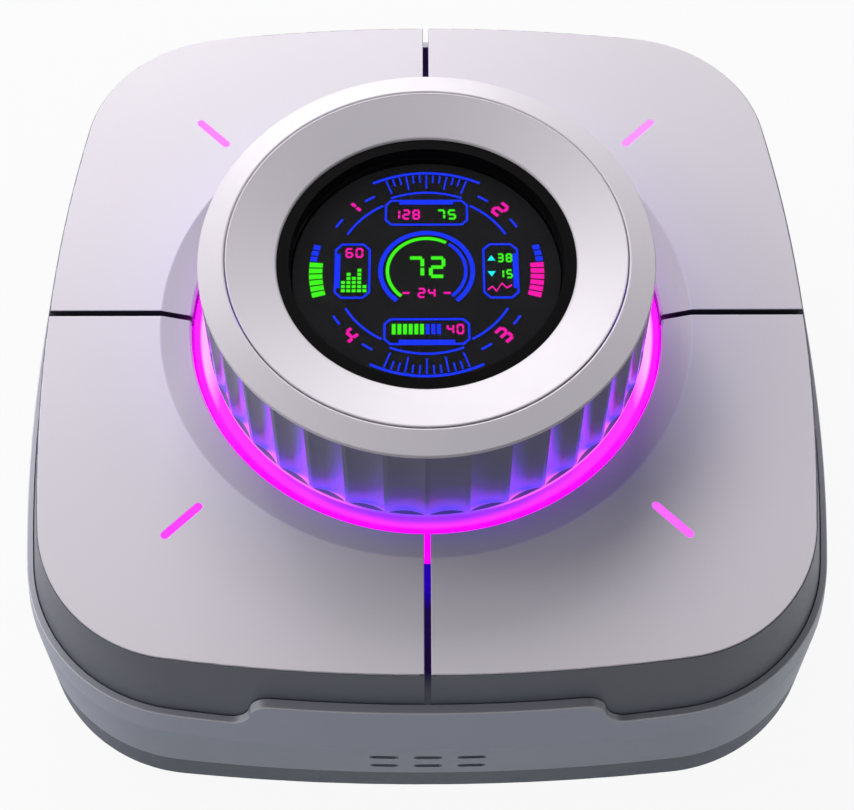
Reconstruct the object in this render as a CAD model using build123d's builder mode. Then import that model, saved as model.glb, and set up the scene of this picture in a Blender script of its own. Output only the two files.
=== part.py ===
from build123d import *
import os
from math import atan2, cos, degrees, pi, radians, sin, sqrt, tan

# A desk controller: four large keys around a dial that carries a round screen.
# Millimetres. +Z up, front at -Y, origin on the table under the centre.

# Plan of the body, measured at the top plates
dial_rim_radius = 28.5
key_depth = 21.5
side_radius = 225.0
corner_extra = 9.8
skirt_angle = 14.0

# Heights of the case
foot_height = 1.0
foot_recess = 0.6
cover_height = 6.5
cover_floor = 2.0
cover_edge = 0.7
wall_height = 10.5
lip_low = 4.5
lip_high = 9.1
plate_rise = 15.0
case_wall = 1.4
rim_angle = 10.2
rim_gap = 0.15
rim_edge = 0.25
lip_wall = 1.14
foot_side_radius = 330.0
foot_corner_extra = 1.3

# The rim: half widths of the lip at the front and back, and the dip along the sides
lip_top_half = 18.7
lip_foot_half = 24.35
dip_half = 40.0
dip_depth = 2.5

# Keys
key_gap = 0.8
key_travel = 1.0
stop_gap = 0.1
plate_thickness = 2.2
plate_edge_angle = 27.0
plate_edge_land = 0.2
plate_edge = 0.12
dish_width = 3.7
dish_land = 0.2
dish_depth = 1.27
dish_lip = 0.35
panel_thickness = 1.8
panel_inset = 0.1
skirt_height = 13.7
skirt_wall = 1.4
bar_length = 6.45
bar_width = 1.1
bar_share = 0.478
bar_sink = 0.05
stem_radius = 2.5
stem_inset = 9.0
stem_spread_angle = 24.0
stem_screw_radius = 1.0
stem_screw_length = 8.0
stem_head_radius = 3.4
stem_head_height = 1.4
plunger_radius = 2.0
plunger_inset = 9.0
key_spring_radius = 4.0
key_spring_wire = 0.6
key_spring_pitch = 2.2

# Fits
slide_clearance = 0.06
body_gap = 0.3
ball_clearance = 0.05
touch_gap = 0.05
cut_margin = 1.0

# Deck inside the case
deck_thickness = 2.0
deck_below_shoulder = 2.0
sleeve_wall = 1.6
deck_gap = 0.2
tube_wall = 2.4
tube_rise = 6.0
tube_drop = 3.0
lamp_seat_inset = 5.0
lamp_seat_wall = 2.0
lamp_seat_rise = 4.0
ring_wall_thickness = 1.6
ring_wall_rise = 8.5

# Posts and screws
post_radius = 4.0
post_overlap = 0.4
case_screw_radius = 1.25
case_screw_head = 2.4
case_screw_head_height = 1.4
cover_screw_length = 7.5
deck_screw_length = 7.0
board_screw_radius = 1.0
board_screw_head = 1.9
board_screw_head_height = 1.0
board_screw_length = 4.5
board_screw_inset = 8.0
board_boss_radius = 2.6
foot_radius = 7.0
foot_inset = 17.0

# Main board, switches and lights
board_stand = 4.0
board_thickness = 1.6
board_inset = 9.0
board_corner_inset = 5.33
board_tab_width = 16.0
board_tab_inset = 2.75
chip_height = 1.2
main_chip = 10.0
side_chip = 5.0
small_chip_width = 3.2
small_chip_length = 2.5
chip_inset = 21.0
small_chip_x = 10.0
small_chip_inset = 15.0
switch_size = 5.2
switch_height = 1.8
switch_button_radius = 1.6
switch_button_rise = 0.8
bar_lamp_size = 2.4
bar_lamp_height = 1.0
bar_lamp_hole = 2.4

# Cable socket at the back
socket_width = 8.94
socket_height = 3.26
socket_depth = 7.35
socket_wall = 0.3
socket_back = 1.0
socket_inset = 0.4
socket_clearance = 0.2
tongue_width = 6.7
tongue_thickness = 0.7
tongue_length = 4.9

# Vent slots at the front
vent_length = 3.65
vent_width = 1.2
vent_pitch_x = 5.55
vent_pitch_z = 3.65
vent_columns = 3
vent_rows = 2
vent_below_shoulder = 5.5

# Dial and its bezel, heights above the plate top
dial_rim_rise = 13.83
dial_foot_flare = 0.5
dial_drop = 1.7
cap_width = 3.5
crest_rise = 14.7
cap_edge = 0.43
cap_spigot = 0.8
cap_round = 0.2
grip_wall = 2.3
flute_count = 36
flute_depth = 0.5
flute_land = 0.12
flute_foot = 0.7
bezel_width = 6.2
well_rise = 12.75
bezel_height = 2.0
bezel_edge = 0.4
ledge_width = 3.7
ledge_height = 2.5

# Dial post, bearing and hub
press_travel = 0.6
post_wall = 2.5
post_tail = 0.3
post_key_width = 2.0
post_key_depth = 1.0
retainer_width = 2.0
retainer_height = 1.0
flange_width = 2.7
flange_height = 1.0
race_step = 0.5
ball_radius = 1.0
ball_count = 12
race_wall = 1.9
race_space = 1.2
race_height = 5.0
race_trim = 0.2
cage_thickness = 0.7
cage_height = 3.2
clip_width = 1.5
clip_height = 0.8
hub_width = 7.2
hub_lip = 0.8
hub_lip_height = 1.2
hub_screw_radius = 0.8
hub_screw_head = 1.4
hub_screw_head_height = 1.2
hub_screw_inset = 1.7
hub_screw_count = 4
hub_screw_bite = 1.8
magnet_gap = 0.5
magnet_width = 2.6
magnet_height = 1.6
dial_spring_wire = 0.8
dial_spring_pitch = 2.1

# Screen
glass_drop = 2.0
glass_thickness = 1.0
panel_height = 2.95
panel_play = 0.3
display_board_height = 1.2
cup_wall = 1.5
cup_floor = 1.5
cup_rim_drop = 0.2
cup_flange_height = 1.2
cup_flange_inset = 0.8
spigot_length = 3.0
spigot_wall = 5.5

# Lamp ring around the dial
lamp_board_thickness = 1.2
lamp_count = 24
lamp_length = 2.0
lamp_width = 1.4
lamp_height = 0.9
lamp_air = 0.3
light_ring_width = 1.7
light_ring_tuck = 1.0
light_flange = 1.8
light_flange_height = 1.0
light_tab_length = 2.2
light_tab_width = 2.0
sensor_size = 2.4
sensor_height = 0.8

# Levels worked out from the sizes above
cover_bottom = foot_height
cover_inside = cover_bottom + cover_floor
case_bottom = cover_bottom + cover_height
case_shoulder = case_bottom + wall_height
crest_low = case_shoulder + lip_low
crest_high = case_shoulder + lip_high
plate_top = case_shoulder + plate_rise
plate_bottom = plate_top - plate_thickness
panel_bottom = plate_bottom - panel_thickness
skirt_bottom = plate_top - skirt_height
deck_bottom = case_shoulder - deck_below_shoulder
deck_top = deck_bottom + deck_thickness
board_bottom = cover_inside + board_stand
board_top = board_bottom + board_thickness
tube_top = deck_top + tube_rise
tube_bottom = deck_bottom - tube_drop
flange_bottom = tube_top + press_travel + stop_gap
flange_top = flange_bottom + flange_height
bearing_bottom = flange_top + race_step
bearing_middle = bearing_bottom + race_height / 2
bearing_top = bearing_bottom + race_height
hub_bottom = bearing_bottom + race_trim
race_top = bearing_top - race_trim
hub_top = race_top + hub_lip_height
post_bottom = tube_bottom - stop_gap - retainer_height - post_tail
rim_z = plate_top + dial_rim_rise
crest_z = plate_top + crest_rise
well_z = plate_top + well_rise
grip_top = rim_z - cap_edge
grip_bottom = plate_top - dial_drop
glass_top = well_z - glass_drop
glass_bottom = glass_top - glass_thickness
panel_floor = glass_bottom - panel_height
display_board_bottom = panel_floor - display_board_height
cup_bottom = display_board_bottom - cup_floor
bezel_bottom = well_z - bezel_height
lamp_board_bottom = deck_top + lamp_seat_rise
lamp_board_top = lamp_board_bottom + lamp_board_thickness
light_ring_top = grip_bottom - press_travel - body_gap
light_ring_bottom = lamp_board_top + lamp_height + lamp_air
light_flange_bottom = deck_top + ring_wall_rise

# Plan sizes worked out from the dial's rim outwards
half_width = dial_rim_radius + key_depth
corner_reach = half_width + corner_extra
dial_foot_radius = dial_rim_radius + dial_foot_flare
light_ring_inner = dial_foot_radius - light_ring_tuck
light_ring_outer = dial_foot_radius + body_gap + light_ring_width
light_tab_reach = light_ring_outer + light_tab_length
lamp_seat_radius = light_ring_outer - lamp_seat_inset
plate_bore_radius = light_ring_outer + body_gap
dish_inner_radius = plate_bore_radius + dish_land
dish_radius = dish_inner_radius + dish_width
stem_reach = half_width - stem_inset
plunger_reach = corner_reach - plunger_inset
bar_reach = dish_radius + bar_share * (plunger_reach - dish_radius)
board_half = half_width - board_inset
board_corner = (sqrt(2) * board_half - corner_reach + board_corner_inset) / (sqrt(2) - 1)
board_screw_x = board_half - board_screw_inset
board_screw_y = board_screw_x / 2
foot_place = half_width - foot_inset
chip_place = board_half - chip_inset
small_chip_y = board_half - small_chip_inset

# Plan sizes worked out from the dial's rim inwards
crest_radius = dial_rim_radius - cap_width
well_radius = crest_radius - bezel_width
grip_bore = dial_rim_radius - grip_wall
ledge_radius = grip_bore - ledge_width
hub_screw_reach = grip_bore - hub_screw_inset
magnet_outer = hub_screw_reach - hub_screw_head - magnet_gap
magnet_inner = magnet_outer - magnet_width
outer_race_radius = grip_bore - hub_width
outer_race_bore = outer_race_radius - race_wall
inner_race_radius = outer_race_bore - race_space
post_outer = inner_race_radius - race_wall
post_bore = post_outer - post_wall
ball_circle = (inner_race_radius + outer_race_bore) / 2
flange_radius = inner_race_radius + flange_width
cable_hole = post_bore - spigot_wall

# Offsets of the plan outline at the levels
skirt_flare = tan(radians(skirt_angle))
rim_flare = tan(radians(rim_angle))
skirt_grow = skirt_height * skirt_flare
crest_grow = (plate_top - crest_high) * skirt_flare + rim_gap + lip_wall
case_grow = crest_grow + lip_high * rim_flare
inner_grow = case_grow - case_wall
plate_undercut = plate_thickness * tan(radians(plate_edge_angle))



def corner_arc(half, reach, radius):
    """Centre and radius of the corner arcs that run on from side arcs of a radius."""
    slack = radius - reach
    centre = ((half - radius) ** 2 - slack**2) / (2 * (half - radius) + 2 * sqrt(2) * slack)
    return centre, reach - sqrt(2) * centre


corner_centre, corner_radius = corner_arc(half_width, corner_reach, side_radius)
side_centre = half_width - side_radius
side_angle = degrees(atan2(corner_centre, corner_centre - side_centre))
post_place = corner_centre + (corner_radius + inner_grow - post_radius + post_overlap) / sqrt(2)
plunger_place = plunger_reach / sqrt(2)
bar_place = bar_reach / sqrt(2)

os.makedirs("parts", exist_ok=True)


def save(part, name):
    """Label one piece and write it."""
    part.label = name
    export_step(part, f"parts/{name}.step")


def four_places(x, y):
    """One place in each quarter of the plan."""
    return [(x, y), (-x, y), (-x, -y), (x, -y)]


def bowed_square(level, half, reach, radius):
    """A square at a level with bowed sides and round corners."""
    centre, corner_turn = corner_arc(half, reach, radius)
    side_turn = degrees(atan2(centre, centre - half + radius))
    with BuildSketch(Plane.XY.offset(level)) as sketch:
        with BuildLine():
            for angle in range(0, 360, 90):
                side = Vector(half - radius, 0).rotate(Axis.Z, angle)
                corner = Vector(centre, centre).rotate(Axis.Z, angle)
                CenterArc(side, radius, angle - side_turn, 2 * side_turn)
                CenterArc(corner, corner_turn, angle + side_turn, 90 - 2 * side_turn)
        make_face()
    return sketch.sketch


def body_outline(level, grow):
    """The plates' plan outline at a level, moved outward by grow."""
    return bowed_square(level, half_width + grow, corner_reach + grow, side_radius + grow)


def ring(outer, inner, bottom, top):
    """Add a plain ring about the dial's axis."""
    with BuildSketch(Plane.XY.offset(bottom)) as sketch:
        Circle(outer)
        Circle(inner, mode=Mode.SUBTRACT)
    extrude(sketch.sketch, amount=top - bottom)


def turned(points):
    """Add a solid turned about the dial's axis from its half section."""
    with BuildSketch(Plane.XZ) as sketch:
        with BuildLine():
            Polyline(*points, close=True)
        make_face()
    revolve(sketch.sketch, axis=Axis.Z)


def pegs(places, radius, bottom, top, mode=Mode.ADD):
    """Add or cut upright round pegs at places."""
    with BuildSketch(Plane.XY.offset(bottom)) as sketch:
        with Locations(*places):
            Circle(radius)
    extrude(sketch.sketch, amount=top - bottom, mode=mode)


def blocks(places, width, length, bottom, top, mode=Mode.ADD):
    """Add or cut upright blocks at places."""
    with BuildSketch(Plane.XY.offset(bottom)) as sketch:
        with Locations(*places):
            Rectangle(width, length)
    extrude(sketch.sketch, amount=top - bottom, mode=mode)


def coil(centre, radius, wire, pitch, bottom, top):
    """Add a wire spring between two levels."""
    start = Vector(centre[0] + radius, centre[1], bottom + wire / 2)
    axis_start = (centre[0], centre[1], bottom + wire / 2)
    with BuildLine() as path:
        Helix(pitch, top - bottom - wire, radius, center=axis_start)
    with BuildSketch(Plane(start, x_dir=(1, 0, 0), z_dir=path.line % 0)) as section:
        Circle(wire / 2)
    sweep(section.sketch, path=path.line, is_frenet=True)


# Rim relief: what is cut from the rim along the right side, from the front lip to the back lip
lip_run = lip_foot_half - lip_top_half
lip_climb = crest_high - crest_low
lip_turn = 2 * degrees(atan2(lip_climb, lip_run))
lip_arc = lip_run / (2 * sin(radians(lip_turn)))
relief_out = corner_reach + case_grow
relief_top = crest_high + cut_margin
with BuildPart() as rim_relief:
    with BuildSketch(Plane.XZ):
        with BuildLine():
            foot = Line((relief_out, crest_low), (lip_foot_half, crest_low))
            first = JernArc(start=foot @ 1, tangent=(-1, 0), radius=lip_arc, arc_size=-lip_turn)
            second = JernArc(start=first @ 1, tangent=first % 1, radius=lip_arc, arc_size=lip_turn)
            Polyline(second @ 1, (lip_top_half, relief_top), (relief_out, relief_top), foot @ 0)
        make_face()
    extrude(amount=relief_out, both=True)
    with BuildSketch(Plane.YZ.offset(lip_foot_half)):
        with BuildLine():
            dip_ends = [(-dip_half, crest_low), (dip_half, crest_low)]
            Spline(dip_ends[0], (0, crest_low - dip_depth), dip_ends[1], tangents=[(1, 0), (1, 0)])
            Polyline(dip_ends[1], (dip_half, relief_top), (-dip_half, relief_top), dip_ends[0])
        make_face()
    extrude(amount=relief_out)

# Lower case: the wall with its rim, corner posts, vents and the socket's opening
post_places = four_places(post_place, post_place)
socket_z = board_top + socket_height / 2
socket_mouth = half_width + case_grow - socket_inset
vent_z = case_shoulder - vent_below_shoulder


def on_rim(edge):
    """True for the edges along the outside of the rim's top."""
    x, y, z = [abs(value) for value in edge @ 0.5]
    along = degrees(atan2(min(x, y), max(x, y) - side_centre))
    if along < side_angle:
        grow = sqrt((max(x, y) - side_centre) ** 2 + min(x, y) ** 2) - side_radius
    else:
        grow = sqrt((x - corner_centre) ** 2 + (y - corner_centre) ** 2) - corner_radius
    rim_grow = case_grow - (z - case_shoulder) * rim_flare
    low_end = edge.vertices().sort_by(Axis.Z)[0].Z
    return low_end > case_shoulder + touch_gap and abs(grow - rim_grow) < touch_gap


foot_reach = corner_reach + case_grow + foot_corner_extra
rim_bore_grow = skirt_grow + rim_gap
with BuildPart() as case_blank:
    foot_face = bowed_square(cover_bottom, half_width + case_grow, foot_reach, foot_side_radius).face()
    shoulder_face = body_outline(case_shoulder, case_grow).face()
    loft([foot_face, shoulder_face], ruled=True)

with BuildPart() as lower_case:
    add(case_blank.part)
    split(bisect_by=Plane.XY.offset(case_bottom), keep=Keep.TOP)
    extrude(body_outline(case_shoulder, case_grow), amount=lip_high, taper=rim_angle)
    extrude(body_outline(case_bottom, inner_grow), amount=wall_height, mode=Mode.SUBTRACT)
    extrude(
        body_outline(case_shoulder, rim_bore_grow),
        amount=skirt_bottom - case_shoulder,
        mode=Mode.SUBTRACT,
    )
    extrude(
        body_outline(skirt_bottom, rim_bore_grow),
        amount=crest_high - skirt_bottom,
        taper=skirt_angle,
        mode=Mode.SUBTRACT,
    )
    for angle in (0, 180):
        add(rim_relief.part.rotate(Axis.Z, angle), mode=Mode.SUBTRACT)
    pegs(post_places, post_radius, case_bottom, deck_bottom)
    pegs(post_places, case_screw_radius, case_bottom, deck_bottom, mode=Mode.SUBTRACT)
    with BuildSketch(Plane.XZ.offset(-half_width)):
        with Locations((0, socket_z)):
            SlotOverall(socket_width + 2 * socket_clearance, socket_height + 2 * socket_clearance)
    extrude(amount=-2 * case_grow, mode=Mode.SUBTRACT)
    with BuildSketch(Plane.XZ.offset(half_width)):
        with Locations((0, vent_z)):
            with GridLocations(vent_pitch_x, vent_pitch_z, vent_columns, vent_rows):
                SlotOverall(vent_length, vent_width)
    extrude(amount=2 * case_grow, mode=Mode.SUBTRACT)
    fillet(lower_case.edges().filter_by(on_rim), radius=rim_edge)
save(lower_case.part, "lower_case")

# Bottom cover: a tray that shows as the dark band
board_screw_places = four_places(board_screw_x, board_screw_y)
foot_places = four_places(foot_place, foot_place)
cover_screw_seat = cover_bottom + case_screw_head_height
with BuildPart() as bottom_cover:
    add(case_blank.part)
    split(bisect_by=Plane.XY.offset(case_bottom), keep=Keep.BOTTOM)
    fillet(bottom_cover.faces().sort_by(Axis.Z)[0].edges(), radius=cover_edge)
    extrude(body_outline(cover_inside, inner_grow), amount=cover_height, mode=Mode.SUBTRACT)
    pegs(post_places, post_radius, cover_inside, case_bottom)
    pegs(post_places, case_screw_radius, cover_bottom, case_bottom, mode=Mode.SUBTRACT)
    pegs(post_places, case_screw_head, cover_bottom, cover_screw_seat, mode=Mode.SUBTRACT)
    pegs(board_screw_places, board_boss_radius, cover_inside, board_bottom)
    pegs(
        board_screw_places,
        board_screw_radius,
        board_top - board_screw_length,
        board_bottom,
        mode=Mode.SUBTRACT,
    )
    pegs(foot_places, foot_radius, cover_bottom, cover_bottom + foot_recess, mode=Mode.SUBTRACT)
save(bottom_cover.part, "bottom_cover")

with BuildPart() as rubber_feet:
    pegs(foot_places, foot_radius, 0, cover_bottom + foot_recess)
save(rubber_feet.part, "rubber_feet")

with BuildPart() as cover_screws:
    pegs(post_places, case_screw_head, cover_bottom, cover_screw_seat)
    pegs(post_places, case_screw_radius, cover_screw_seat, cover_screw_seat + cover_screw_length)
save(cover_screws.part, "cover_screws")

# Main board with its chips, switches and lights
with BuildPart() as main_board:
    with BuildSketch(Plane.XY.offset(board_bottom)):
        RectangleRounded(2 * board_half, 2 * board_half, board_corner)
        tab_length = socket_mouth - board_tab_inset - board_half
        with Locations((0, board_half)):
            Rectangle(board_tab_width, tab_length, align=(Align.CENTER, Align.MIN))
    extrude(amount=board_thickness)
    pegs(board_screw_places, board_screw_radius, board_bottom, board_top, mode=Mode.SUBTRACT)
save(main_board.part, "main_board")

with BuildPart() as board_screws:
    pegs(board_screw_places, board_screw_head, board_top, board_top + board_screw_head_height)
    pegs(board_screw_places, board_screw_radius, board_top - board_screw_length, board_top)
save(board_screws.part, "board_screws")

chip_top = board_top + chip_height
with BuildPart() as board_chips:
    blocks([(0, chip_place)], main_chip, main_chip, board_top, chip_top)
    blocks([(chip_place, 0), (-chip_place, 0)], side_chip, side_chip, board_top, chip_top)
    small_chips = [(-small_chip_x, small_chip_y), (small_chip_x, small_chip_y)]
    blocks(small_chips, small_chip_width, small_chip_length, board_top, chip_top)
save(board_chips.part, "board_chips")

plunger_places = four_places(plunger_place, plunger_place)
switch_top = board_top + switch_height
key_button_top = switch_top + switch_button_rise
with BuildPart() as key_switches:
    blocks(plunger_places, switch_size, switch_size, board_top, switch_top)
    pegs(plunger_places, switch_button_radius, switch_top, key_button_top)
save(key_switches.part, "key_switches")

dial_switch_place = (post_outer + post_bore) / 2
dial_button_top = post_bottom - press_travel - touch_gap
with BuildPart() as dial_switch:
    blocks([(0, -dial_switch_place)], switch_size, switch_size, board_top, switch_top)
    pegs([(0, -dial_switch_place)], switch_button_radius, switch_top, dial_button_top)
save(dial_switch.part, "dial_switch")

bar_places = four_places(bar_place, bar_place)
with BuildPart() as bar_lamps:
    blocks(bar_places, bar_lamp_size, bar_lamp_size, board_top, board_top + bar_lamp_height)
save(bar_lamps.part, "bar_lamps")

# Cable socket: a folded shell with a tongue inside
with BuildPart() as usb_socket:
    with BuildSketch(Plane.XZ.offset(-socket_mouth)):
        with Locations((0, socket_z)):
            SlotOverall(socket_width, socket_height)
    extrude(amount=socket_depth)
    with BuildSketch(Plane.XZ.offset(-socket_mouth)):
        with Locations((0, socket_z)):
            SlotOverall(socket_width - 2 * socket_wall, socket_height - 2 * socket_wall)
    extrude(amount=socket_depth - socket_back, mode=Mode.SUBTRACT)
save(usb_socket.part, "usb_socket")

tongue_root = socket_mouth - socket_depth + socket_back
with BuildPart() as usb_tongue:
    with BuildSketch(Plane.XZ.offset(-tongue_root)):
        with Locations((0, socket_z)):
            Rectangle(tongue_width, tongue_thickness)
    extrude(amount=-tongue_length)
save(usb_tongue.part, "usb_tongue")

# Deck: a plate on the case posts with sleeves for the keys and a tube for the dial post
stem_sides = (-stem_spread_angle, stem_spread_angle)
stem_angles = [quarter + side for quarter in (45, 135, 225, 315) for side in stem_sides]
stem_places = [(stem_reach * cos(radians(a)), stem_reach * sin(radians(a))) for a in stem_angles]
sleeve_bore = stem_radius + slide_clearance
sleeve_top = panel_bottom - key_travel - stop_gap
tube_bore = post_outer + slide_clearance
tube_radius = tube_bore + tube_wall
key_slot = post_key_width + 2 * body_gap
ring_wall_inner = light_ring_outer + deck_gap
with BuildPart() as deck:
    extrude(body_outline(deck_bottom, inner_grow - deck_gap), amount=deck_thickness)
    pegs(stem_places, sleeve_bore + sleeve_wall, deck_top, sleeve_top)
    pegs([(0, 0)], tube_radius, tube_bottom, tube_top)
    ring(lamp_seat_radius + lamp_seat_wall, lamp_seat_radius, deck_top, lamp_board_bottom)
    ring(ring_wall_inner + ring_wall_thickness, ring_wall_inner, deck_top, light_flange_bottom)
    pegs([(0, 0)], tube_bore, tube_bottom, tube_top, mode=Mode.SUBTRACT)
    with BuildSketch(Plane.XY.offset(tube_bottom)):
        Rectangle(key_slot, tube_bore + post_key_depth + body_gap, align=(Align.CENTER, Align.MIN))
    extrude(amount=tube_top - tube_bottom, mode=Mode.SUBTRACT)
    pegs(stem_places, sleeve_bore, deck_bottom, sleeve_top, mode=Mode.SUBTRACT)
    pegs(plunger_places, plunger_radius + body_gap, deck_bottom, deck_top, mode=Mode.SUBTRACT)
    pegs(bar_places, bar_lamp_hole, deck_bottom, deck_top, mode=Mode.SUBTRACT)
    with Locations(*[(x, y, deck_top) for x, y in post_places]):
        CounterSinkHole(case_screw_radius, case_screw_head, depth=deck_thickness)
save(deck.part, "deck")

with BuildPart() as deck_screws:
    head_cone = case_screw_head - case_screw_radius
    with Locations(*[(x, y, deck_top - head_cone) for x, y in post_places]):
        Cone(
            case_screw_radius,
            case_screw_head,
            head_cone,
            align=(Align.CENTER, Align.CENTER, Align.MIN),
        )
    pegs(post_places, case_screw_radius, deck_top - deck_screw_length, deck_top - head_cone)
save(deck_screws.part, "deck_screws")

# Lamp board, its lamps, the dial's sensor and the light ring
lamp_circle = (light_ring_inner + light_ring_outer) / 2
sensor_reach = (magnet_inner + magnet_outer) / 2
with BuildPart() as lamp_board:
    ring(light_ring_outer, magnet_inner, lamp_board_bottom, lamp_board_top)
save(lamp_board.part, "lamp_board")

with BuildPart() as ring_lamps:
    with BuildSketch(Plane.XY.offset(lamp_board_top)):
        with PolarLocations(lamp_circle, lamp_count):
            Rectangle(lamp_width, lamp_length)
    extrude(amount=lamp_height)
save(ring_lamps.part, "ring_lamps")

with BuildPart() as dial_sensor:
    blocks([(0, sensor_reach)], sensor_size, sensor_size, lamp_board_top, lamp_board_top + sensor_height)
save(dial_sensor.part, "dial_sensor")

light_flange_radius = light_ring_outer + light_flange
with BuildPart() as light_ring:
    ring(light_ring_outer, light_ring_inner, light_ring_bottom, light_ring_top)
    ring(
        light_flange_radius,
        light_ring_inner,
        light_flange_bottom,
        light_flange_bottom + light_flange_height,
    )
    with BuildSketch(Plane.XY.offset(light_flange_bottom)):
        with PolarLocations(lamp_circle, 4):
            Rectangle(light_tab_reach - lamp_circle, light_tab_width, align=(Align.MIN, Align.CENTER))
    extrude(amount=light_flange_height)
save(light_ring.part, "light_ring")

# One key, in the quarter with +X and +Y; the others are turned copies
key_stems = stem_places[:2]
stem_bottom = deck_bottom - stop_gap
plunger_bottom = key_button_top + key_travel + touch_gap
quarter_span = corner_reach + case_grow


def keep_quarter():
    """Keep what lies in the key's quarter, half a gap from its neighbours."""
    with BuildSketch() as sketch:
        with Locations((key_gap / 2, key_gap / 2)):
            Rectangle(quarter_span, quarter_span, align=(Align.MIN, Align.MIN))
    extrude(sketch.sketch, amount=plate_top + cut_margin, mode=Mode.INTERSECT)


def bar_slot(bottom, top, mode=Mode.ADD):
    """Add or cut the light bar's rounded slot on the key's diagonal."""
    with BuildSketch(Plane.XY.offset(bottom)) as sketch:
        with Locations(Location((bar_place, bar_place, 0), (0, 0, 45))):
            SlotOverall(bar_length, bar_width)
    extrude(sketch.sketch, amount=top - bottom, mode=mode)


with BuildPart() as dish_space:
    turned(
        [
            (0, panel_bottom),
            (plate_bore_radius, panel_bottom),
            (plate_bore_radius, plate_top - dish_depth - dish_lip),
            (dish_inner_radius, plate_top - dish_depth),
            (dish_radius, plate_top),
            (dish_radius, plate_top + dish_depth),
            (0, plate_top + dish_depth),
        ]
    )

with BuildPart() as plate_blank:
    extrude(
        body_outline(plate_bottom, -plate_undercut),
        amount=plate_thickness,
        taper=-plate_edge_angle,
    )

with BuildPart() as key_plate:
    add(plate_blank.part)
    add(dish_space.part, mode=Mode.SUBTRACT)
    keep_quarter()
    fillet(key_plate.faces().sort_by(Axis.Z)[-1].edges(), radius=plate_edge)
    bar_slot(plate_bottom, plate_top, mode=Mode.SUBTRACT)

with BuildPart() as key_carrier:
    extrude(
        body_outline(skirt_bottom, skirt_grow),
        amount=skirt_height - plate_edge_land,
        taper=skirt_angle,
    )
    extrude(
        body_outline(skirt_bottom, skirt_grow - skirt_wall),
        amount=panel_bottom - skirt_bottom,
        taper=skirt_angle,
        mode=Mode.SUBTRACT,
    )
    add(plate_blank.part, mode=Mode.SUBTRACT)
    pegs([(0, 0)], plate_bore_radius + panel_inset, skirt_bottom, plate_top, mode=Mode.SUBTRACT)
    keep_quarter()
    bar_slot(panel_bottom, plate_bottom, mode=Mode.SUBTRACT)
    pegs(key_stems, stem_radius, stem_bottom, panel_bottom)
    pegs([(plunger_place, plunger_place)], plunger_radius, plunger_bottom, panel_bottom)
    pegs(key_stems, stem_screw_radius, stem_bottom, stem_bottom + stem_screw_length, mode=Mode.SUBTRACT)

with BuildPart() as light_bar:
    bar_slot(panel_bottom, plate_top - bar_sink)

with BuildPart() as stem_screws:
    pegs(key_stems, stem_head_radius, stem_bottom - stem_head_height, stem_bottom)
    pegs(key_stems, stem_screw_radius, stem_bottom, stem_bottom + stem_screw_length)

with BuildPart() as key_spring:
    coil(
        (plunger_place, plunger_place),
        key_spring_radius,
        key_spring_wire,
        key_spring_pitch,
        deck_top,
        panel_bottom,
    )

quarters = {"back_right": 0, "back_left": 90, "front_left": 180, "front_right": 270}
for quarter, angle in quarters.items():
    save(key_plate.part.rotate(Axis.Z, angle), f"key_plate_{quarter}")
    save(key_carrier.part.rotate(Axis.Z, angle), f"key_carrier_{quarter}")
    save(light_bar.part.rotate(Axis.Z, angle), f"light_bar_{quarter}")
    save(stem_screws.part.rotate(Axis.Z, angle), f"stem_screws_{quarter}")
    save(key_spring.part.rotate(Axis.Z, angle), f"key_spring_{quarter}")

# Dial post: a hollow slide with a flange for its spring and the bearing
retainer_top = tube_bottom - stop_gap
post_top = cup_bottom
with BuildPart() as dial_post:
    turned(
        [
            (post_bore, post_bottom),
            (post_outer, post_bottom),
            (post_outer, flange_bottom),
            (flange_radius, flange_bottom),
            (flange_radius, flange_top),
            (inner_race_radius, flange_top),
            (inner_race_radius, bearing_bottom),
            (post_outer, bearing_bottom),
            (post_outer, post_top),
            (post_bore, post_top),
        ]
    )
    with BuildSketch(Plane.XY.offset(tube_bottom)):
        with Locations((0, post_bore + post_wall / 2)):
            key_length = post_wall / 2 + post_key_depth
            Rectangle(post_key_width, key_length, align=(Align.CENTER, Align.MIN))
    extrude(amount=tube_rise)
save(dial_post.part, "dial_post")

with BuildPart() as post_retainer:
    ring(post_outer + retainer_width, post_outer, retainer_top - retainer_height, retainer_top)
save(post_retainer.part, "post_retainer")

dial_spring_radius = (tube_radius + flange_radius) / 2
with BuildPart() as dial_spring:
    coil((0, 0), dial_spring_radius, dial_spring_wire, dial_spring_pitch, deck_top, flange_bottom)
save(dial_spring.part, "dial_spring")

# Bearing: two grooved races, a cage and its balls
with BuildPart() as ball_track:
    with BuildSketch(Plane.XZ):
        with Locations((ball_circle, bearing_middle)):
            Circle(ball_radius + ball_clearance)
    revolve(axis=Axis.Z)

with BuildPart() as bearing_inner_race:
    ring(inner_race_radius, post_outer, bearing_bottom, bearing_top)
    add(ball_track.part, mode=Mode.SUBTRACT)
save(bearing_inner_race.part, "bearing_inner_race")

with BuildPart() as bearing_outer_race:
    ring(outer_race_radius, outer_race_bore, hub_bottom, race_top)
    add(ball_track.part, mode=Mode.SUBTRACT)
save(bearing_outer_race.part, "bearing_outer_race")

with BuildPart() as bearing_cage:
    ring(
        ball_circle + cage_thickness / 2,
        ball_circle - cage_thickness / 2,
        bearing_middle - cage_height / 2,
        bearing_middle + cage_height / 2,
    )
    with Locations((0, 0, bearing_middle)):
        with PolarLocations(ball_circle, ball_count):
            Cylinder(
                ball_radius + ball_clearance,
                2 * cage_thickness,
                rotation=(0, 90, 0),
                mode=Mode.SUBTRACT,
            )
save(bearing_cage.part, "bearing_cage")

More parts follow.
